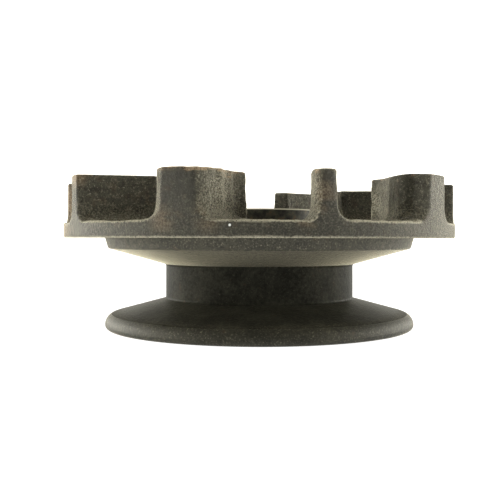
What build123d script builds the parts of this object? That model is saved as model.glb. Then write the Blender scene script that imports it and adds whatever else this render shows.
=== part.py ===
from build123d import *
from math import hypot, radians, tan
import os

# Cast-iron fan flywheel with a bolted rope-start sheave, for a small engine.
# The origin is on the shaft axis, in the plane of the sheave's lower rim. +Z points along
# the shaft axis towards the fan side. Lengths are in millimetres, angles in degrees.

# Fan casting: a round web with upright vanes, turned to size on its outside diameter
fan_radius = 76.2
web_bottom = 35.1
web_thickness = 5.5
fan_edge_break = 0.4
turned_edge_radius = 0.4
slim_vane_heights = [15.9, 15.5, 15.8, 15.9, 16.4]
slim_vane_errors = [0.3, -3.0, -0.9, -0.9, -1.4]
heavy_vane_heights = [16.1, 15.6, 15.9, 16.0, 16.4]
vane_draft = 1.6
vane_root_radius = 4.3
inner_root_radius = 1.6
root_fade_start = 54.0
root_fade_angle = 35.0
vane_corner_radius = 0.9
vane_top_radius = 0.7
first_vane_angle = -73.7
turning_allowance = 9.0

# Rope sheave: a turned casting with a flat-bottomed V groove, hollow underneath
upper_flange_radius = 60.9
upper_flange_edge_height = 4.0
upper_flange_edge_radius = 1.1
groove_radius = 37.3
groove_floor_bottom = 11.3
groove_floor_top = 24.8
groove_corner_radius = 1.0
upper_cone_angle = 15.7
lower_cone_angle = 15.0
rim_radius = 60.8
rim_upper_radius = 4.2
rim_lower_radius = 1.7
rim_land_width = 7.0
underside_relief = 1.5
well_mouth_radius = 30.8
well_top_radius = 29.8
well_corner_radius = 3.0
sheave_floor = 7.0
knot_notch_width = 7.0
knot_notch_depth = 9.0

# Hub: a turned steel flange on the web, with a barrel down through both castings
hub_flange_radius = 24.4
hub_flange_thickness = 5.5
hub_edge_break = 0.4
barrel_radius = 12.7
barrel_clearance = 0.05
shaft_radius = 7.9375
bore_chamfer = 0.5
keyway_width = 4.76
keyway_depth = 2.4
keyway_angle = 90.0

# Fasteners: quarter-inch screws with split lock washers, and two plain dowels
fastener_circle = 19.05
screw_count = 4
first_screw_angle = 45.0
screw_radius = 3.175
screw_hole_radius = 3.4
screw_head_sides = 6
screw_head_flats = 11.1
screw_head_height = 4.1
screw_head_bevel = 1.0
screw_length = 19.05
screw_end_break = 0.3
washer_radius = 6.18
washer_bore_radius = 3.3
washer_thickness = 1.6
washer_slit = 1.2
washer_slit_lean = 20.0
dowel_angles = [0.0, 180.0]
dowel_radius = 2.38
dowel_length = 16.5
dowel_recess = 0.5
dowel_end_break = 0.3

# Levels that follow from the sizes above
web_top = web_bottom + web_thickness
vane_top = web_top + max(slim_vane_heights + heavy_vane_heights)
floor_underside = web_bottom - sheave_floor
hub_top = web_top + hub_flange_thickness

# Two levels or radii closer than this are taken as the same
same_place = 0.01

# Cutting shapes run this far past what they cut
overrun = 1.0

# Plan shape of a vane, in fractions of the fan radius: x runs outwards along the radius at
# its tip, y the way its inner end is swept. The leading side starts at the tip and runs in,
# the trailing side runs from the inner end back out. Tips reach past the outside diameter
# and are turned off flush with it. Slim and heavy vanes take turns round the web. The pattern
# was made by hand: each vane has its own height, and each slim vane its own error of place.
slim_leading_side = [(1.06, -0.012), (0.95, -0.050), (0.80, -0.005), (0.64, 0.059)]
slim_trailing_side = [(0.657, 0.151), (0.83, 0.086), (1.06, 0.004)]
heavy_leading_side = [(1.06, -0.012), (0.99, -0.073), (0.92, -0.122), (0.81, -0.062), (0.625, 0.062)]
heavy_trailing_side = [(0.664, 0.186), (0.76, 0.130), (0.86, 0.127), (0.95, 0.111), (1.06, 0.0)]


def ring_places(count, first_angle, radius):
    """Places evenly spaced on a circle round the shaft axis."""
    return [Rot(0, 0, first_angle + i * 360 / count) * Pos(radius, 0, 0) for i in range(count)]


screw_places = ring_places(screw_count, first_screw_angle, fastener_circle)
dowel_places = [Rot(0, 0, angle) * Pos(fastener_circle, 0, 0) for angle in dowel_angles]


def rod(radius, bottom, top):
    """Upright round bar on the Z axis between two levels."""
    return Pos(0, 0, bottom) * Cylinder(radius, top - bottom, align=(Align.CENTER, Align.CENTER, Align.MIN))


def corner_at(face, radius, height):
    """The outline's corner that lies nearest to a point given as radius and height."""
    return face.vertices().sort_by_distance(Vector(radius, 0, height))[0]


def outline_of(points):
    """Closed straight-sided outline in the XZ plane through (radius, height) points."""
    corners = [Vector(radius, 0, height) for radius, height in points]
    return make_face(Polyline(*corners, close=True))


def drill(part, hole_radius, places):
    """Cut the same round hole right through the part at each place."""
    for place in places:
        part -= place * rod(hole_radius, -overrun, vane_top + overrun)
    return part


def vane_plan(leading_side, trailing_side, spread, height):
    """Plan outline of a vane at one height, its two sides moved outwards by the spread."""
    leading = Spline(*[(x * fan_radius, y * fan_radius - spread) for x, y in leading_side])
    trailing = Spline(*[(x * fan_radius, y * fan_radius + spread) for x, y in trailing_side])
    inner_end = Line(leading @ 1, trailing @ 0)
    tip = Line(trailing @ 1, leading @ 0)
    return Pos(0, 0, height) * make_face([leading, inner_end, trailing, tip])


def vane(leading_side, trailing_side, height):
    """One vane with draft on its sides, standing on the web with its tip towards +X."""
    spread = height * tan(radians(vane_draft))
    foot = vane_plan(leading_side, trailing_side, spread, web_top)
    crown = vane_plan(leading_side, trailing_side, 0, web_top + height)
    solid = loft([foot, crown])
    upright_edges = [edge for edge in solid.edges() if edge.bounding_box().size.Z > height / 2]
    inner_corners = ShapeList(upright_edges).sort_by(Axis.X)[:2]
    solid = fillet(inner_corners, vane_corner_radius)
    return fillet(solid.edges().group_by(Axis.Z)[-1], vane_top_radius)


def rooted(casting, root_radius):
    """The casting with one root radius wherever its vanes meet the web."""
    level_edges = casting.edges().filter_by_position(Axis.Z, web_top - same_place, web_top + same_place)
    root_edges = [edge for edge in level_edges if edge.length < fan_radius]
    return fillet(root_edges, root_radius)


def wide_root_zone():
    """Outer ring of the web where the root radii are wide; they die out inwards in a cone."""
    height = vane_root_radius + overrun
    fade_end = root_fade_start + height / tan(radians(root_fade_angle))
    upright = (Align.CENTER, Align.CENTER, Align.MIN)
    inside = Pos(0, 0, web_top) * Cone(root_fade_start, fade_end, height, align=upright)
    return rod(fan_radius + turning_allowance, web_bottom, web_top + height) - inside


def is_turned_edge(edge):
    """True for an edge of the outside diameter anywhere above the web's lower corner."""
    points = [edge @ 0.1, edge @ 0.5, edge @ 0.9]
    on_diameter = all(abs(hypot(point.X, point.Y) - fan_radius) < same_place for point in points)
    return on_diameter and points[1].Z > web_bottom + fan_edge_break + same_place


def fan_flywheel():
    """Web and vanes in one casting, with wide roots outside, turned flush on the diameter."""
    casting = rod(fan_radius + turning_allowance, web_bottom, web_top)
    pair_angle = 360 / len(slim_vane_heights)
    for pair, slim_vane_height in enumerate(slim_vane_heights):
        angle = first_vane_angle + pair * pair_angle
        slim_vane = vane(slim_leading_side, slim_trailing_side, slim_vane_height)
        heavy_vane = vane(heavy_leading_side, heavy_trailing_side, heavy_vane_heights[pair])
        casting += Rot(0, 0, angle + slim_vane_errors[pair]) * slim_vane
        casting += Rot(0, 0, angle + pair_angle / 2) * heavy_vane
    casting = rooted(casting, inner_root_radius) + (rooted(casting, vane_root_radius) & wide_root_zone())
    envelope = rod(fan_radius, web_bottom, vane_top + overrun)
    envelope = chamfer(envelope.edges().group_by(Axis.Z)[0], fan_edge_break)
    casting &= envelope
    casting = fillet(casting.edges().filter_by(is_turned_edge), turned_edge_radius)
    casting -= rod(barrel_radius + barrel_clearance, web_bottom - overrun, web_top + overrun)
    casting = drill(casting, screw_hole_radius, screw_places)
    return drill(casting, dowel_radius, dowel_places)


def knot_notch():
    """Round-ended slot through the lower flange, where the starter rope's knot hooks in."""
    slot_end = rim_radius - knot_notch_depth + knot_notch_width / 2
    height = groove_floor_bottom + overrun
    outwards = (Align.CENTER, Align.MIN, Align.MIN)
    slot = Pos(0, slot_end, -overrun) * Box(knot_notch_width, knot_notch_depth, height, align=outwards)
    return slot + Pos(0, slot_end, 0) * rod(knot_notch_width / 2, -overrun, groove_floor_bottom)


def rope_sheave():
    """Turned sheave with its groove profile, open well, knot notch and fastener holes."""
    bevel_bottom = web_bottom - upper_flange_edge_height
    upper_cone_end = (
        groove_radius + (bevel_bottom - groove_floor_top) / tan(radians(upper_cone_angle)),
        bevel_bottom,
    )
    lower_cone_end = (
        rim_radius,
        groove_floor_bottom - (rim_radius - groove_radius) * tan(radians(lower_cone_angle)),
    )
    profile = outline_of([
        (barrel_radius + barrel_clearance, web_bottom),
        (upper_flange_radius, web_bottom),
        upper_cone_end,
        (groove_radius, groove_floor_top),
        (groove_radius, groove_floor_bottom),
        lower_cone_end,
        (rim_radius, 0),
        (rim_radius - rim_land_width, 0),
        (rim_radius - rim_land_width - underside_relief, underside_relief),
        (well_mouth_radius, underside_relief),
        (well_top_radius, floor_underside),
        (barrel_radius + barrel_clearance, floor_underside),
    ])
    rounded_corners = [
        (upper_cone_end, upper_flange_edge_radius),
        ((groove_radius, groove_floor_top), groove_corner_radius),
        ((groove_radius, groove_floor_bottom), groove_corner_radius),
        (lower_cone_end, rim_upper_radius),
        ((rim_radius, 0), rim_lower_radius),
        ((well_top_radius, floor_underside), well_corner_radius),
    ]
    for corner, radius in rounded_corners:
        profile = fillet(corner_at(profile, *corner), radius)
    casting = revolve(profile, Axis.Z, 360) - knot_notch()
    casting = drill(casting, screw_hole_radius, screw_places)
    return drill(casting, dowel_radius, dowel_places)


def hub():
    """Flanged hub with its keyed shaft bore, and tapped and dowel holes in the flange."""
    flange = rod(hub_flange_radius, web_top, hub_top)
    flange = chamfer(flange.edges().group_by(Axis.Z)[-1], hub_edge_break)
    body = flange + rod(barrel_radius, floor_underside, web_top)
    body -= rod(shaft_radius, floor_underside - overrun, hub_top + overrun)
    bore_rims = body.edges().filter_by(GeomType.CIRCLE)
    bore_rims = [edge for edge in bore_rims if abs(edge.radius - shaft_radius) < same_place]
    body = chamfer(bore_rims, bore_chamfer)
    keyway_reach = shaft_radius + keyway_depth
    keyway_height = hub_top - floor_underside + 2 * overrun
    from_axis = (Align.MIN, Align.CENTER, Align.MIN)
    keyway = Box(keyway_reach, keyway_width, keyway_height, align=from_axis)
    body -= Rot(0, 0, keyway_angle) * Pos(0, 0, floor_underside - overrun) * keyway
    body = drill(body, screw_radius, screw_places)
    return drill(body, dowel_radius, dowel_places)


def sheave_screw():
    """Hexagon screw, head below the washer with a flat towards the shaft, shank upwards."""
    head_top = floor_underside - washer_thickness
    head_bottom = head_top - screw_head_height
    flat_inwards = 180 / screw_head_sides
    hexagon = RegularPolygon(screw_head_flats / 2, screw_head_sides, major_radius=False, rotation=flat_inwards)
    head = extrude(Pos(0, 0, head_bottom) * hexagon, amount=screw_head_height)
    head_blank = rod(screw_head_flats / 2 + screw_head_bevel, head_bottom, head_top)
    head &= chamfer(head_blank.edges().group_by(Axis.Z)[0], screw_head_bevel)
    shank = rod(screw_radius, head_top, head_top + screw_length)
    shank = chamfer(shank.edges().group_by(Axis.Z)[-1], screw_end_break)
    return head + shank


def lock_washer():
    """Split ring under a screw head, its slit leaning like a spring washer's."""
    bottom = floor_underside - washer_thickness
    ring = rod(washer_radius, bottom, floor_underside)
    ring -= rod(washer_bore_radius, bottom - overrun, floor_underside + overrun)
    from_middle = (Align.MIN, Align.CENTER, Align.CENTER)
    slit = Box(washer_radius + overrun, washer_slit, washer_thickness + 2 * overrun, align=from_middle)
    return ring - Pos(0, 0, bottom + washer_thickness / 2) * Rot(washer_slit_lean, 0, 0) * slit


def drive_dowel():
    """Plain dowel pin that stops the sheave, the fan and the hub from slipping round."""
    bottom = floor_underside + dowel_recess
    pin = rod(dowel_radius, bottom, bottom + dowel_length)
    return chamfer(pin.edges().filter_by(GeomType.CIRCLE), dowel_end_break)


def write(node, solid):
    """Write one sub-part as parts/NODE.step."""
    solid.label = node
    export_step(solid, os.path.join("parts", node + ".step"))


os.makedirs("parts", exist_ok=True)
write("fan_flywheel", fan_flywheel())
write("rope_sheave", rope_sheave())
write("hub", hub())
for number, place in enumerate(screw_places, start=1):
    write(f"sheave_screw_{number}", place * sheave_screw())
    write(f"lock_washer_{number}", place * lock_washer())
for number, place in enumerate(dowel_places, start=1):
    write(f"drive_dowel_{number}", place * drive_dowel())
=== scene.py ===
import math

import bpy
import numpy as np
from mathutils import Matrix, Vector, noise
from mathutils.bvhtree import BVHTree


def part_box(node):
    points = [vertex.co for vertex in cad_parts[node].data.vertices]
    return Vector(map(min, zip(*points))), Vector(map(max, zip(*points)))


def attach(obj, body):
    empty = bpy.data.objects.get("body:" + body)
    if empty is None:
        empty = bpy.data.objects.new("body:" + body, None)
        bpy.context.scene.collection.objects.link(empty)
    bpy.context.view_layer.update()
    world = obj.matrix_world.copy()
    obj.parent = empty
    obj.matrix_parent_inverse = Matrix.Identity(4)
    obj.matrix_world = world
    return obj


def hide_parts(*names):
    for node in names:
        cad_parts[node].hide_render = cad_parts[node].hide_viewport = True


# Looks of the cast-iron fan flywheel: its sand-cast skin, finishes, light and camera.
# Everything is in metres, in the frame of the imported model.

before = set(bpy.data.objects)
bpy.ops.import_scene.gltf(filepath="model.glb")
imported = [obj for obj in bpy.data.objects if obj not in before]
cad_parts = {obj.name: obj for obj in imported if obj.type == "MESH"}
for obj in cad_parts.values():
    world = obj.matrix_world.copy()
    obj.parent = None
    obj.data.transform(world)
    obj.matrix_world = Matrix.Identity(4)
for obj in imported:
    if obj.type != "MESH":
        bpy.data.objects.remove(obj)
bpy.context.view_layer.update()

MM = 0.001
fan_low, fan_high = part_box("fan_flywheel")
sheave_low, sheave_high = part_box("rope_sheave")
hub_low, hub_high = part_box("hub")
FAN_RADIUS = (fan_high.x - fan_low.x) / 2
RIM_RADIUS = (sheave_high.x - sheave_low.x) / 2
HUB_RADIUS = (hub_high.x - hub_low.x) / 2
WEB_BOTTOM = fan_low.z
VANE_TOP = fan_high.z
HUB_TOP = hub_high.z
WEB_TOP = WEB_BOTTOM + 5.5 * MM
GROOVE_TOP = WEB_BOTTOM - 10.3 * MM

# Sand skin of the fan casting: size of its mesh, and each layer's grain and depth
SKIN_MESH = 0.77 * MM
SKIN_LAYERS = [(11.0 * MM, 0.18 * MM), (3.6 * MM, 0.10 * MM), (1.7 * MM, 0.10 * MM)]

# The skin fades out this close to the turned outside, and keeps this share on the vane tops
TURNED_MARGIN = 0.5 * MM
TOP_SHARE = 0.25

# Places on the fan, as (angle from +X in degrees, radius, height): worn corners with their
# reach, a chip, heaps of sandy crumbs and the top that handling has rusted most
WORN_EDGES = [
    ((-104.6, FAN_RADIUS, 0.0), 5.0 * MM),
    ((-76.1, FAN_RADIUS, 0.0), 5.0 * MM),
    ((-72.0, FAN_RADIUS, 0.0), 3.0 * MM),
]
WORN_EDGE_ROUNDS = 5
CHIP = (-106.4, FAN_RADIUS, WEB_TOP + 16.4 * MM)
CHIP_SIZE = 1.7 * MM
CHIP_DEPTH = 0.75 * MM
CRUMBS = [(-45.5, 0.91 * FAN_RADIUS, WEB_TOP + 1.5 * MM), (-101.0, 0.78 * FAN_RADIUS, VANE_TOP)]
CRUMBS_REACH = 8.0 * MM
CRUMBS_DEPTH = 0.6 * MM
CRUMB_SIZE = 1.9 * MM
CRUMBS_FILL = 0.3
RUSTY_VANE = (-109.7, 0.85 * FAN_RADIUS, VANE_TOP)
RUSTY_REACH = 30.0 * MM

# Upright ridges the pattern left on one vane's side: place, how far it stands out, width
RIDGES = [
    ((-101.2, 0.859 * FAN_RADIUS, 0.0), 0.9 * MM, 1.2 * MM),
    ((-99.6, 0.762 * FAN_RADIUS, 0.0), 0.5 * MM, 1.2 * MM),
]
RIDGE_WANDER = 5.0 * MM

# Where each noise of the skin starts: the skin's layers take the seeds 0, 1 and 2
CRUMBS_SEED = 17
RIDGE_SEED = 23
SEED_STEPS = (13.7, 7.1, 3.3)

# Faint and strong rust, a fleck of pale paint, sandy vane sides and vane sides darkened with painted shade,
# each with its reach
FAINT_STAINS = [
    ((-113.2, FAN_RADIUS, WEB_TOP), 7.0 * MM),
    ((-75.7, FAN_RADIUS, WEB_TOP + 8.0 * MM), 8.0 * MM),
    ((-79.3, FAN_RADIUS, WEB_TOP), 4.5 * MM),
    ((-101.8, FAN_RADIUS, WEB_TOP + 0.8 * MM), 7.0 * MM),
]
RUSTY_SIDES = [
    ((-161.0, FAN_RADIUS, WEB_TOP - 1.0 * MM), 16.0 * MM),
    ((-147.5, FAN_RADIUS, VANE_TOP), 7.0 * MM),
    ((-176.0, FAN_RADIUS, WEB_TOP + 8.0 * MM), 13.0 * MM),
]
PAINT_FLECK = ((-96.7, FAN_RADIUS, WEB_BOTTOM + 3.9 * MM), 0.65 * MM)
SANDY_SIDES = [
    ((-101.0, 0.84 * FAN_RADIUS, WEB_TOP + 7.0 * MM), 16.0 * MM),
    ((-77.5, 0.92 * FAN_RADIUS, WEB_TOP + 8.0 * MM), 10.0 * MM),
    ((-33.0, 0.64 * FAN_RADIUS, WEB_TOP + 8.0 * MM), 7.0 * MM),
]
PAINTED_SHADE_SIDES = [
    ((-43.8, 0.86 * FAN_RADIUS, WEB_TOP + 5.0 * MM), 10.5 * MM),
    ((-43.8, 0.86 * FAN_RADIUS, WEB_TOP + 12.0 * MM), 10.5 * MM),
    ((47.0, 0.65 * FAN_RADIUS, WEB_TOP + 10.0 * MM), 9.5 * MM),
]
# Faces this share of a painted shade's reach from its place take the painted shade finish
PAINTED_SHADE_SHARE = 0.68

# Finishes, each as (name, weight of its dusty sheen, how much light its gloss throws back); the fan's second
# finish, with little sheen and gloss, goes on the faces of the painted shade
FAN_FINISHES = [("cast_iron", 0.65, 0.38), ("painted_shade_cast_iron", 0.1, 0.1)]
SHEAVE_FINISHES = [("flange_iron", 0.8, 0.35), ("rim_iron", 0.5, 0.16), ("groove_iron", 0.1, 0.02)]
SHEEN_ROUGHNESS = 0.2
SHEEN_TINT = (1.0, 0.92, 0.68, 1.0)
GLOSS_TINT = (1.0, 0.97, 0.88, 1.0)

# How many times flatter than wide the layered patches of the sand skin are
LAYER_SQUEEZE = 3.0

# The sheave's outer rim, which has its own finish: its height and depth
RIM_FACE_TOP = 6.0 * MM
RIM_FACE_DEPTH = 2.5 * MM

# Small steel parts, each as (start of its nodes' names, material, dark, light, roughness)
SMALL_STEEL = [
    ("sheave_screw", "screw_steel", (0.03, 0.028, 0.024), (0.09, 0.085, 0.075), 0.4),
    ("lock_washer", "washer_steel", (0.07, 0.065, 0.055), (0.22, 0.21, 0.185), 0.35),
    ("drive_dowel", "dowel_steel", (0.2, 0.19, 0.17), (0.4, 0.39, 0.36), 0.3),
]

# Camera: level with the web's lower face, nearly four fan radii away, a little off centre
CAMERA_DISTANCE = 3.85 * FAN_RADIUS
CAMERA_LENS = 52.4
CAMERA_SENSOR = 36.0
CAMERA_SHIFT = (-0.0188, -0.024)
CAMERA_ROLL = math.radians(0.10)

# Light: wide low soft boxes at both sides, a pale light table, darkness behind the camera
LEFT_LIGHT = 13.5
RIGHT_LIGHT = 10.5
TOP_LIGHT = 1.2
BACK_LIGHT = 1.8
CAMERA_SIDE_LIGHT = 0.08
LIGHT_TINT = (1.0, 0.98, 0.89, 1.0)
FLOOR_COLOUR = (0.30, 0.30, 0.295)
FLOOR_GLOW = 0.95
FLOOR_SIZE = 8.0

# Where the light fades, each from one value to another of the direction's X, Y or Z
DARK_TO_LIT_Y = (-0.6, -0.1)
BOX_TOP_Z = (0.6, 0.15)
BOX_BACK_Y = (0.95, 0.5)
RIGHT_TO_LEFT_X = (0.3, -0.5)
LOW_TO_HIGH_Z = (0.2, 0.8)


# ---------------------------------------------------------------- shader helpers

def new_material(name):
    """A material with its node tree and its principled shader."""
    material = bpy.data.materials.new(name)
    material.use_nodes = True
    tree = material.node_tree
    shader = tree.nodes["Principled BSDF"]
    return material, tree, shader


def add(tree, kind, inputs=None, **settings):
    """Add a node; an input may be a plain value or another node's output socket."""
    node = tree.nodes.new(kind)
    for key, value in settings.items():
        setattr(node, key, value)
    for key, value in (inputs or {}).items():
        if isinstance(value, bpy.types.NodeSocket):
            tree.links.new(value, node.inputs[key])
        else:
            node.inputs[key].default_value = value
    return node


def math_node(tree, operation, *values):
    """Result of one arithmetic step."""
    inputs = dict(enumerate(values))
    return add(tree, "ShaderNodeMath", inputs, operation=operation).outputs[0]


def product(tree, *values):
    """All the values multiplied together."""
    result = values[0]
    for value in values[1:]:
        result = math_node(tree, "MULTIPLY", result, value)
    return result


def average(tree, first, second):
    """Mean of two values."""
    return math_node(tree, "ADD", product(tree, first, 0.5), product(tree, second, 0.5))


def highest(tree, *values):
    """Highest of the values."""
    result = values[0]
    for value in values[1:]:
        result = math_node(tree, "MAXIMUM", result, value)
    return result


def ramp(tree, value, low, high):
    """Smooth 0 to 1 step as the value goes from low to high."""
    inputs = {"Value": value, "From Min": low, "From Max": high}
    return add(tree, "ShaderNodeMapRange", inputs, interpolation_type="SMOOTHSTEP").outputs["Result"]


def span(tree, value, low, high):
    """Straight-line map of a 0 to 1 value to the range low to high."""
    inputs = {"Value": value, "To Min": low, "To Max": high}
    return add(tree, "ShaderNodeMapRange", inputs).outputs["Result"]


def blend(tree, factor, first, second):
    """Mix of two colours, each a plain one or another node's output socket."""
    node = add(tree, "ShaderNodeMix", data_type="RGBA")
    for socket, value in ((0, factor), (6, first), (7, second)):
        if isinstance(value, bpy.types.NodeSocket):
            tree.links.new(value, node.inputs[socket])
        elif socket == 0:
            node.inputs[socket].default_value = value
        else:
            node.inputs[socket].default_value = (*value, 1.0)
    return node.outputs[2]


def noise_at(tree, vector, size, detail=2.0, roughness=0.5):
    """Cloudy noise whose features are about one size (in metres) across."""
    inputs = {"Vector": vector, "Scale": 1.0 / size, "Detail": detail, "Roughness": roughness}
    return add(tree, "ShaderNodeTexNoise", inputs).outputs["Fac"]


def bump(tree, shader, height, strength, distance, below=None):
    """Bump from a height, laid over another bump's normal when one is given."""
    inputs = {"Height": height, "Strength": strength, "Distance": distance}
    if below is not None:
        inputs["Normal"] = below
    normal = add(tree, "ShaderNodeBump", inputs).outputs["Normal"]
    tree.links.new(normal, shader.inputs["Normal"])
    return normal


class Coat:
    """Base colour that is built up layer by layer."""

    def __init__(self, tree, colour):
        self.tree = tree
        self.colour = colour

    def lay(self, paint, *masks):
        """Lay a paint over the colour, as strongly as all the masks multiplied together."""
        self.colour = blend(self.tree, product(self.tree, *masks), self.colour, paint)


class Place:
    """Shader outputs that tell where on the part a point lies, and how its surface faces."""

    def __init__(self, tree):
        self.vector = add(tree, "ShaderNodeTexCoord").outputs["Object"]
        parts = add(tree, "ShaderNodeSeparateXYZ", {"Vector": self.vector})
        self.x, self.y, self.z = (parts.outputs[name] for name in "XYZ")
        squeezed = {"X": self.x, "Y": self.y, "Z": product(tree, self.z, LAYER_SQUEEZE)}
        self.layered = add(tree, "ShaderNodeCombineXYZ", squeezed).outputs[0]
        flat = add(tree, "ShaderNodeCombineXYZ", {"X": self.x, "Y": self.y}).outputs[0]
        self.radius = add(tree, "ShaderNodeVectorMath", {0: flat}, operation="LENGTH").outputs["Value"]
        geometry = add(tree, "ShaderNodeNewGeometry")
        facing = add(tree, "ShaderNodeSeparateXYZ", {"Vector": geometry.outputs["True Normal"]})
        self.up = facing.outputs["Z"]
        self.edge = geometry.outputs["Pointiness"]


def at_angle(angle, radius, height):
    """Point given as angle from +X in degrees, radius and height."""
    turn = math.radians(angle)
    return Vector((radius * math.cos(turn), radius * math.sin(turn), height))


def near(tree, place, centre, reach):
    """1 at a point given as angle, radius and height, fading to 0 at the reach."""
    inputs = {0: place.vector, 1: at_angle(*centre)}
    distance = add(tree, "ShaderNodeVectorMath", inputs, operation="DISTANCE").outputs["Value"]
    return ramp(tree, distance, reach, 0.0)


def near_any(tree, place, spots):
    """Highest of the masks round several places, each given with its reach."""
    return highest(tree, *[near(tree, place, *spot) for spot in spots])


# ---------------------------------------------------------------- finishes

# Colours of the iron and its marks; the dust colours also paint highlights, and the black oil colour also
# paints shade
OLIVE_DARK = (0.022, 0.0205, 0.0145)
OLIVE = (0.062, 0.0585, 0.0420)
GRIT = (0.18, 0.165, 0.12)
DUST_AND_HIGHLIGHT = (0.20, 0.185, 0.130)
PALE_DUST_AND_HIGHLIGHT = (0.42, 0.39, 0.29)
RUST = (0.10, 0.052, 0.025)
RUST_PALE = (0.34, 0.24, 0.14)
PALE_PAINT = (0.90, 0.90, 0.87)
OIL_AND_SHADE_BLACK = (0.010, 0.0101, 0.0080)
OIL_BROWN = (0.030, 0.0295, 0.0225)


def set_finish(shader, dust, gloss):
    """Gloss, and fine dust that pales the surface where it turns away."""
    shader.inputs["Specular IOR Level"].default_value = gloss
    shader.inputs["Specular Tint"].default_value = GLOSS_TINT
    shader.inputs["Sheen Weight"].default_value = dust
    shader.inputs["Sheen Roughness"].default_value = SHEEN_ROUGHNESS
    shader.inputs["Sheen Tint"].default_value = SHEEN_TINT


def cast_iron(name, dust, gloss):
    """Old sand-cast skin, gritty and dusty, rusted on the vane tops, turned smooth outside, with painted
    shade on some vane sides and painted highlights on the turned outside's right end and on the edges near
    the roots.
    """
    material, tree, shader = new_material(name)
    place = Place(tree)
    turned = ramp(tree, place.radius, FAN_RADIUS - 0.45 * MM, FAN_RADIUS - 0.2 * MM)
    rough = span(tree, turned, 1.0, 0.3)
    patches = noise_at(tree, place.layered, 9 * MM, 4)
    blotches = ramp(tree, noise_at(tree, place.vector, 4 * MM, 4), 0.55, 0.7)
    grain = noise_at(tree, place.vector, 1.2 * MM, 4, 0.75)
    fine = noise_at(tree, place.vector, 0.55 * MM, 2, 0.7)
    rust = blend(tree, ramp(tree, fine, 0.35, 0.55), RUST, RUST_PALE)
    tone = ramp(tree, average(tree, patches, grain), 0.34, 0.66)
    coat = Coat(tree, blend(tree, tone, OLIVE_DARK, OLIVE))
    coat.lay(OIL_AND_SHADE_BLACK, turned, 0.68)
    # Painted highlight: pale dust colour on the right end of the turned outside
    coat.lay(DUST_AND_HIGHLIGHT, turned, ramp(tree, place.x, 35 * MM, 65 * MM), ramp(tree, grain, 0.3, 0.6), 0.25)
    coat.lay(RUST, blotches, 0.15)
    rust_stains(coat, place, patches, rust)
    coat.lay(GRIT, ramp(tree, grain, 0.54, 0.68), rough, 0.6)
    coat.lay(PALE_DUST_AND_HIGHLIGHT, ramp(tree, fine, 0.58, 0.72), rough, 0.45)
    coat.lay(OIL_AND_SHADE_BLACK, ramp(tree, grain, 0.44, 0.32), rough, 0.6)
    coat.lay(PALE_DUST_AND_HIGHLIGHT, near_any(tree, place, SANDY_SIDES), ramp(tree, fine, 0.42, 0.6), rough, 0.7)
    # Painted shade: black laid on the listed vane sides
    coat.lay(OIL_AND_SHADE_BLACK, ramp(tree, near_any(tree, place, PAINTED_SHADE_SIDES), 0.0, 0.5), rough, 0.5)
    roots_dust_and_highlight(coat, place, fine, rough)
    rusty_tops(coat, place, patches, blotches, grain, rust)
    coat.lay(PALE_PAINT, ramp(tree, near(tree, place, *PAINT_FLECK), 0.2, 0.5))
    tree.links.new(coat.colour, shader.inputs["Base Color"])
    skin = bump(tree, shader, grain, 1.0, 0.5 * MM)
    bump(tree, shader, fine, 0.7, 0.25 * MM, skin)
    tree.links.new(span(tree, turned, 0.75, 0.6), shader.inputs["Roughness"])
    set_finish(shader, dust, gloss)
    return material


def rust_stains(coat, place, patches, rust):
    """Rust on the vanes' sides, faint in some places and strong in others."""
    tree = coat.tree
    faint = product(tree, near_any(tree, place, FAINT_STAINS), ramp(tree, patches, 0.35, 0.6), 0.35)
    strong = product(tree, near_any(tree, place, RUSTY_SIDES), ramp(tree, patches, 0.2, 0.4))
    coat.lay(rust, highest(tree, faint, strong), 0.7)


def roots_dust_and_highlight(coat, place, fine, rough):
    """Dust on the web and round the vanes' roots, and a painted highlight along the edges down there."""
    tree = coat.tree
    low_down = ramp(tree, place.z, WEB_TOP + 9 * MM, WEB_TOP + 2 * MM)
    coat.lay(DUST_AND_HIGHLIGHT, low_down, rough, ramp(tree, fine, 0.45, 0.6), 0.5)
    # Painted highlight: pale colour on the sharp edges near the roots
    coat.lay(PALE_DUST_AND_HIGHLIGHT, ramp(tree, place.edge, 0.525, 0.56), low_down, ramp(tree, fine, 0.3, 0.5), 0.9)


def rusty_tops(coat, place, patches, blotches, grain, rust):
    """Rust on the vanes' tops: all over the handled vane, in blotches on the others."""
    tree = coat.tree
    high_up = ramp(tree, place.z, VANE_TOP - 3 * MM, VANE_TOP - 2 * MM)
    worn = span(tree, ramp(tree, place.up, 0.9, 0.98), 1.0, 0.4)
    top = product(tree, high_up, ramp(tree, place.up, 0.1, 0.35), worn)
    handled = near(tree, place, RUSTY_VANE, RUSTY_REACH)
    crown = ramp(tree, place.z, VANE_TOP - 1.8 * MM, VANE_TOP - 0.4 * MM)
    crown = product(tree, handled, crown, worn, ramp(tree, patches, 0.4, 0.6))
    rusty = highest(tree, handled, product(tree, blotches, 0.6))
    coat.lay(rust, highest(tree, top, crown), rusty, ramp(tree, grain, 0.25, 0.45))


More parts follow.
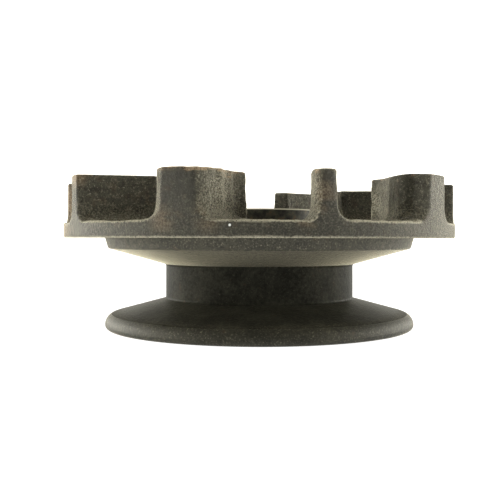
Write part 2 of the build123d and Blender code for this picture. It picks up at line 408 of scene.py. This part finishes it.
def sheave_iron(name, dust, gloss):
    """Turned iron: dusty on the upper flange and round the rim, black with oil elsewhere; the upper flange
    also has painted highlights at both ends and painted shade under its right half.
    """
    material, tree, shader = new_material(name)
    place = Place(tree)
    patches = noise_at(tree, place.vector, 10 * MM, 4)
    grain = noise_at(tree, place.vector, 1.3 * MM, 3, 0.7)
    fine = noise_at(tree, place.vector, 0.6 * MM, 2, 0.7)
    tone = average(tree, patches, grain)
    upper = ramp(tree, place.z, GROOVE_TOP - 1 * MM, GROOVE_TOP + 2 * MM)
    low_down = ramp(tree, place.z, 9 * MM, 6 * MM)
    outside = ramp(tree, place.radius, RIM_RADIUS - 8 * MM, RIM_RADIUS - 2 * MM)
    handled = highest(tree, upper, product(tree, low_down, outside, 0.6))
    dark_finish = blend(tree, ramp(tree, tone, 0.34, 0.66), OIL_AND_SHADE_BLACK, OIL_BROWN)
    dusty = blend(tree, ramp(tree, tone, 0.36, 0.74), OIL_BROWN, OLIVE)
    coat = Coat(tree, blend(tree, handled, dark_finish, dusty))
    upper_flange(coat, place, grain, upper)
    coat.lay(OIL_AND_SHADE_BLACK, handled, ramp(tree, fine, 0.45, 0.33), 0.7)
    coat.lay(GRIT, ramp(tree, fine, 0.55, 0.72), span(tree, handled, 0.12, 0.8))
    coat.lay(RUST, ramp(tree, noise_at(tree, place.vector, 3 * MM, 4), 0.64, 0.74), 0.15)
    tree.links.new(coat.colour, shader.inputs["Base Color"])
    turning = add(tree, "ShaderNodeCombineXYZ", {"X": place.radius, "Z": place.z}).outputs[0]
    rings = bump(tree, shader, noise_at(tree, turning, 0.6 * MM, 2), 0.25, 0.1 * MM)
    bump(tree, shader, grain, 0.5, 0.3 * MM, rings)
    tree.links.new(span(tree, handled, 0.42, 0.6), shader.inputs["Roughness"])
    set_finish(shader, dust, gloss)
    return material


def upper_flange(coat, place, grain, upper):
    """Dust under the flange, painted highlights at both ends of its face, and painted shade under its right
    half.
    """
    tree = coat.tree
    lower_part = ramp(tree, place.z, WEB_BOTTOM, WEB_BOTTOM - 3 * MM)
    under = product(tree, ramp(tree, place.up, -0.5, -0.85), lower_part)
    coat.lay(DUST_AND_HIGHLIGHT, upper, under, ramp(tree, grain, 0.36, 0.62), 0.24)
    # Painted shade: black under the right half of the flange
    coat.lay(OIL_AND_SHADE_BLACK, upper, under, ramp(tree, place.x, -15 * MM, 30 * MM), 0.6)
    ends = ramp(tree, math_node(tree, "ABSOLUTE", place.x), 25 * MM, 58 * MM)
    # Painted highlight: pale dust colour at both ends of the flange's face
    coat.lay(DUST_AND_HIGHLIGHT, upper, span(tree, under, 1.0, 0.0), ends, ramp(tree, grain, 0.3, 0.6), 0.4)


def hub_steel():
    """Stained steel hub with a pale band on its turned upper edge: worn bright steel and a painted
    highlight.
    """
    material, tree, shader = new_material("hub_steel")
    place = Place(tree)
    stains = noise_at(tree, place.vector, 3 * MM, 4, 0.7)
    grain = noise_at(tree, place.vector, 0.6 * MM, 2)
    coat = Coat(tree, blend(tree, ramp(tree, stains, 0.35, 0.65), OIL_AND_SHADE_BLACK, OLIVE))
    coat.lay(RUST, ramp(tree, stains, 0.55, 0.68), 0.5)
    top = ramp(tree, place.z, HUB_TOP - 0.6 * MM, HUB_TOP - 0.35 * MM)
    edge = ramp(tree, place.radius, HUB_RADIUS - 1.2 * MM, HUB_RADIUS - 0.6 * MM)
    # Painted highlight, and worn bright steel: pale band along the turned upper edge
    coat.lay(PALE_DUST_AND_HIGHLIGHT, top, edge, 0.8)
    tree.links.new(coat.colour, shader.inputs["Base Color"])
    bump(tree, shader, grain, 0.4, 0.1 * MM)
    shader.inputs["Metallic"].default_value = 0.25
    shader.inputs["Roughness"].default_value = 0.5
    return material


def stained_steel(name, dark, light, roughness):
    """Machined steel under stains, with a trace of rust."""
    material, tree, shader = new_material(name)
    place = Place(tree)
    stains = noise_at(tree, place.vector, 4 * MM, 4, 0.6)
    grain = noise_at(tree, place.vector, 0.5 * MM, 2)
    coat = Coat(tree, blend(tree, ramp(tree, stains, 0.35, 0.65), dark, light))
    coat.lay(RUST, ramp(tree, stains, 0.6, 0.7), 0.5)
    tree.links.new(coat.colour, shader.inputs["Base Color"])
    bump(tree, shader, grain, 0.2, 0.05 * MM)
    shader.inputs["Metallic"].default_value = 0.6
    shader.inputs["Roughness"].default_value = roughness
    return material


def dress(node, material):
    """Give a CAD node one material in all its slots."""
    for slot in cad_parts[node].material_slots:
        slot.material = material


def dress_small_steel():
    """Dress the screws, the washers and the dowels."""
    for start, name, dark, light, roughness in SMALL_STEEL:
        steel = stained_steel(name, dark, light, roughness)
        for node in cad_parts:
            if node.startswith(start):
                dress(node, steel)


# ---------------------------------------------------------------- objects and meshes

def new_object(name, data):
    """A new object in the scene."""
    thing = bpy.data.objects.new(name, data)
    bpy.context.scene.collection.objects.link(thing)
    return thing


def plain_copy(node, name):
    """Copy of a CAD node, in the same place and with the same shape."""
    return new_object(name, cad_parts[node].data.copy())


def fine_copy(node, name, cell):
    """Copy of a CAD node's shape in an even mesh with the given cell size."""
    copy = plain_copy(node, name)
    remesh = copy.modifiers.new("even", "REMESH")
    remesh.mode = "VOXEL"
    remesh.voxel_size = cell
    bpy.context.view_layer.update()
    depsgraph = bpy.context.evaluated_depsgraph_get()
    mesh = bpy.data.meshes.new_from_object(copy.evaluated_get(depsgraph))
    copy.modifiers.remove(remesh)
    copy.data = mesh
    return copy


def vectors(items, field):
    """One vector of every vertex or face, such as its place, as an array."""
    values = np.empty(len(items) * 3, np.float32)
    items.foreach_get(field, values)
    return values.reshape(-1, 3).astype(float)


def set_points(mesh, points):
    """Write the vertex positions back."""
    mesh.vertices.foreach_set("co", points.astype(np.float32).ravel())
    mesh.update()


def lay_on(mesh, node):
    """Move every vertex to the nearest point of the CAD surface."""
    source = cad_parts[node].data
    corners = [vertex.co.copy() for vertex in source.vertices]
    tree = BVHTree.FromPolygons(corners, [polygon.vertices[:] for polygon in source.polygons])
    moved = [tree.find_nearest(Vector(point))[0] for point in vectors(mesh.vertices, "co")]
    set_points(mesh, np.array(moved))


def finish_faces(mesh, materials, choice):
    """Give the mesh its materials and every face the one that the choice numbers."""
    mesh.materials.clear()
    for material in materials:
        mesh.materials.append(material)
    mesh.polygons.foreach_set("material_index", choice.astype(np.int32))


# ---------------------------------------------------------------- the fan casting and its skin

def smooth_step(value, low, high):
    """0 to 1 as the value goes from low to high."""
    share = np.clip((value - low) / (high - low), 0.0, 1.0)
    return share * share * (3.0 - 2.0 * share)


def layer(points, size, seed):
    """Noise between about -1 and 1 at every point, with features of the given size."""
    shift = Vector([seed * step for step in SEED_STEPS])
    return np.array([noise.noise(Vector(point) / size + shift) for point in points]) * 2.0


def plan_distance(points, centre):
    """Distance of every point from an upright line through a place on the fan."""
    foot = at_angle(*centre)
    return np.hypot(points[:, 0] - foot.x, points[:, 1] - foot.y)


def around(points, centre, reach):
    """Bell-shaped weight around a place on the fan."""
    squares = ((points - np.array(at_angle(*centre))) ** 2).sum(axis=1)
    return np.exp(-squares / (2.0 * (reach / 2.0) ** 2))


def soften(mesh, points, weight, rounds):
    """Round off what is sharp where the weight says, by averaging points with their neighbours."""
    ends = np.empty(len(mesh.edges) * 2, np.int32)
    mesh.edges.foreach_get("vertices", ends)
    first, second = ends.reshape(-1, 2).T
    count = np.bincount(ends, minlength=len(points))[:, None]
    for _ in range(rounds):
        total = np.zeros_like(points)
        np.add.at(total, first, points[second])
        np.add.at(total, second, points[first])
        points += (total / count - points) * weight[:, None]


def ridge(points, centre, height, width):
    """How far an upright ridge lifts every point, wandering a little and dying out low down."""
    wander = layer(points * (0, 0, 1), RIDGE_WANDER, RIDGE_SEED)[:, None] * (width / 3, 0, 0)
    across = plan_distance(points + wander, centre)
    upper = smooth_step(points[:, 2], WEB_TOP + 3 * MM, WEB_TOP + 7 * MM)
    return height * upper * np.exp(-across**2 / (2.0 * width**2))


def wear_corners(mesh, points):
    """Round off the worn corners of the vanes, but not their roots."""
    for centre, reach in WORN_EDGES:
        weight = smooth_step(plan_distance(points, centre), reach, reach / 2)
        weight *= smooth_step(points[:, 2], WEB_TOP + 3 * MM, WEB_TOP + 6 * MM)
        soften(mesh, points, weight, WORN_EDGE_ROUNDS)


def sand_skin(points, radius):
    """How far the sand skin, the crumbs and the ridges lift every point off the casting."""
    height = points[:, 2]
    cast = smooth_step(FAN_RADIUS - radius, 0.05 * MM, TURNED_MARGIN)
    cast *= smooth_step(height, WEB_BOTTOM + 0.8 * MM, WEB_BOTTOM + 2.0 * MM)
    cast *= smooth_step(radius, HUB_RADIUS - 2 * MM, HUB_RADIUS + 1 * MM)
    on_top = smooth_step(height, VANE_TOP - 2.5 * MM, VANE_TOP - 0.8 * MM)
    cast *= 1.0 - (1.0 - TOP_SHARE) * on_top
    depth = cast * sum(layer(points, size, seed) * amount for seed, (size, amount) in enumerate(SKIN_LAYERS))
    sand = np.maximum(layer(points, CRUMB_SIZE, CRUMBS_SEED) + CRUMBS_FILL, 0.0)
    depth += CRUMBS_DEPTH * sand * sum(around(points, place, CRUMBS_REACH) for place in CRUMBS)
    depth += sum(ridge(points, *measures) for measures in RIDGES)
    return depth


def trim(points):
    """Hold every point inside the casting's lower face, vane tops and turned outside."""
    points[:, 2] = np.clip(points[:, 2], WEB_BOTTOM, VANE_TOP)
    radius = np.hypot(points[:, 0], points[:, 1])
    points[:, :2] *= (FAN_RADIUS / np.maximum(radius, FAN_RADIUS))[:, None]


def painted_shade_faces(mesh):
    """1 for each cast face in the painted shade on the vanes' sides, 0 for the others."""
    centres = vectors(mesh.polygons, "center")
    dark_finish = np.zeros(len(centres), bool)
    for place, reach in PAINTED_SHADE_SIDES:
        gaps = centres - np.array(at_angle(*place))
        dark_finish |= np.linalg.norm(gaps, axis=1) < PAINTED_SHADE_SHARE * reach
    cast = np.hypot(centres[:, 0], centres[:, 1]) < FAN_RADIUS - TURNED_MARGIN
    return dark_finish & cast


def fan_casting():
    """The fan casting with its sand skin; what the tool cut stays smooth and true."""
    piece = fine_copy("fan_flywheel", "fan_casting", SKIN_MESH)
    mesh = piece.data
    lay_on(mesh, "fan_flywheel")
    points = vectors(mesh.vertices, "co")
    normals = vectors(mesh.vertices, "normal")
    radius = np.hypot(points[:, 0], points[:, 1])
    wear_corners(mesh, points)
    points += normals * sand_skin(points, radius)[:, None]
    points[:, 2] -= CHIP_DEPTH * around(points, CHIP, CHIP_SIZE)
    trim(points)
    set_points(mesh, points)
    mesh.shade_smooth()
    finish_faces(mesh, [cast_iron(*measures) for measures in FAN_FINISHES], painted_shade_faces(mesh))
    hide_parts("fan_flywheel")
    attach(piece, "root")


# ---------------------------------------------------------------- the sheave

def sheave_zones(mesh):
    """0 for the faces of the upper flange, 1 for the outer rim below, 2 for the rest."""
    centres = vectors(mesh.polygons, "center")
    radius = np.hypot(centres[:, 0], centres[:, 1])
    upper = centres[:, 2] > GROOVE_TOP
    rim = (centres[:, 2] < RIM_FACE_TOP) & (radius > RIM_RADIUS - RIM_FACE_DEPTH)
    return np.select([upper, rim], [0, 1], 2)


def sheave_casting():
    """The sheave in its own shape, with a finish for each of its zones."""
    piece = plain_copy("rope_sheave", "sheave_casting")
    materials = [sheave_iron(*measures) for measures in SHEAVE_FINISHES]
    finish_faces(piece.data, materials, sheave_zones(piece.data))
    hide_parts("rope_sheave")
    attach(piece, "root")


# ---------------------------------------------------------------- stage

def floor():
    """Plain pale studio floor."""
    mesh = bpy.data.meshes.new("floor")
    half = FLOOR_SIZE / 2
    corners = [(-half, -half, 0), (half, -half, 0), (half, half, 0), (-half, half, 0)]
    mesh.from_pydata(corners, [], [(0, 1, 2, 3)])
    material, tree, shader = new_material("floor_paper")
    shader.inputs["Base Color"].default_value = (*FLOOR_COLOUR, 1.0)
    shader.inputs["Emission Color"].default_value = (1.0, 1.0, 1.0, 1.0)
    shader.inputs["Emission Strength"].default_value = FLOOR_GLOW
    shader.inputs["Roughness"].default_value = 0.9
    mesh.materials.append(material)
    new_object("floor", mesh)


def surround():
    """World light: brightest at both sides, bright behind the part, dark behind the camera."""
    world = bpy.data.worlds.new("studio")
    world.use_nodes = True
    tree = world.node_tree
    direction = add(tree, "ShaderNodeTexCoord").outputs["Generated"]
    parts = add(tree, "ShaderNodeSeparateXYZ", {"Vector": direction})
    away = ramp(tree, parts.outputs["Y"], *DARK_TO_LIT_Y)
    low = ramp(tree, parts.outputs["Z"], *BOX_TOP_Z)
    beside = ramp(tree, parts.outputs["Y"], *BOX_BACK_Y)
    left = ramp(tree, parts.outputs["X"], *RIGHT_TO_LEFT_X)
    boxes = product(tree, low, beside, span(tree, left, RIGHT_LIGHT, LEFT_LIGHT))
    rest = span(tree, ramp(tree, parts.outputs["Z"], *LOW_TO_HIGH_Z), BACK_LIGHT, TOP_LIGHT)
    bright = product(tree, away, highest(tree, boxes, rest))
    strength = math_node(tree, "ADD", bright, CAMERA_SIDE_LIGHT)
    tree.links.new(strength, tree.nodes["Background"].inputs["Strength"])
    tree.nodes["Background"].inputs["Color"].default_value = LIGHT_TINT
    bpy.context.scene.world = world


def camera():
    """Level view of the front, as close as the photograph's."""
    data = bpy.data.cameras.new("camera")
    data.lens = CAMERA_LENS
    data.sensor_width = CAMERA_SENSOR
    data.shift_x, data.shift_y = CAMERA_SHIFT
    view = new_object("camera", data)
    place = Matrix.Translation((0, -CAMERA_DISTANCE, WEB_BOTTOM))
    view.matrix_world = place @ Matrix.Rotation(math.pi / 2, 4, "X") @ Matrix.Rotation(CAMERA_ROLL, 4, "Z")
    bpy.context.scene.camera = view


bpy.context.scene.view_settings.view_transform = "Standard"

fan_casting()
sheave_casting()
dress("hub", hub_steel())
dress_small_steel()
floor()
surround()
camera()
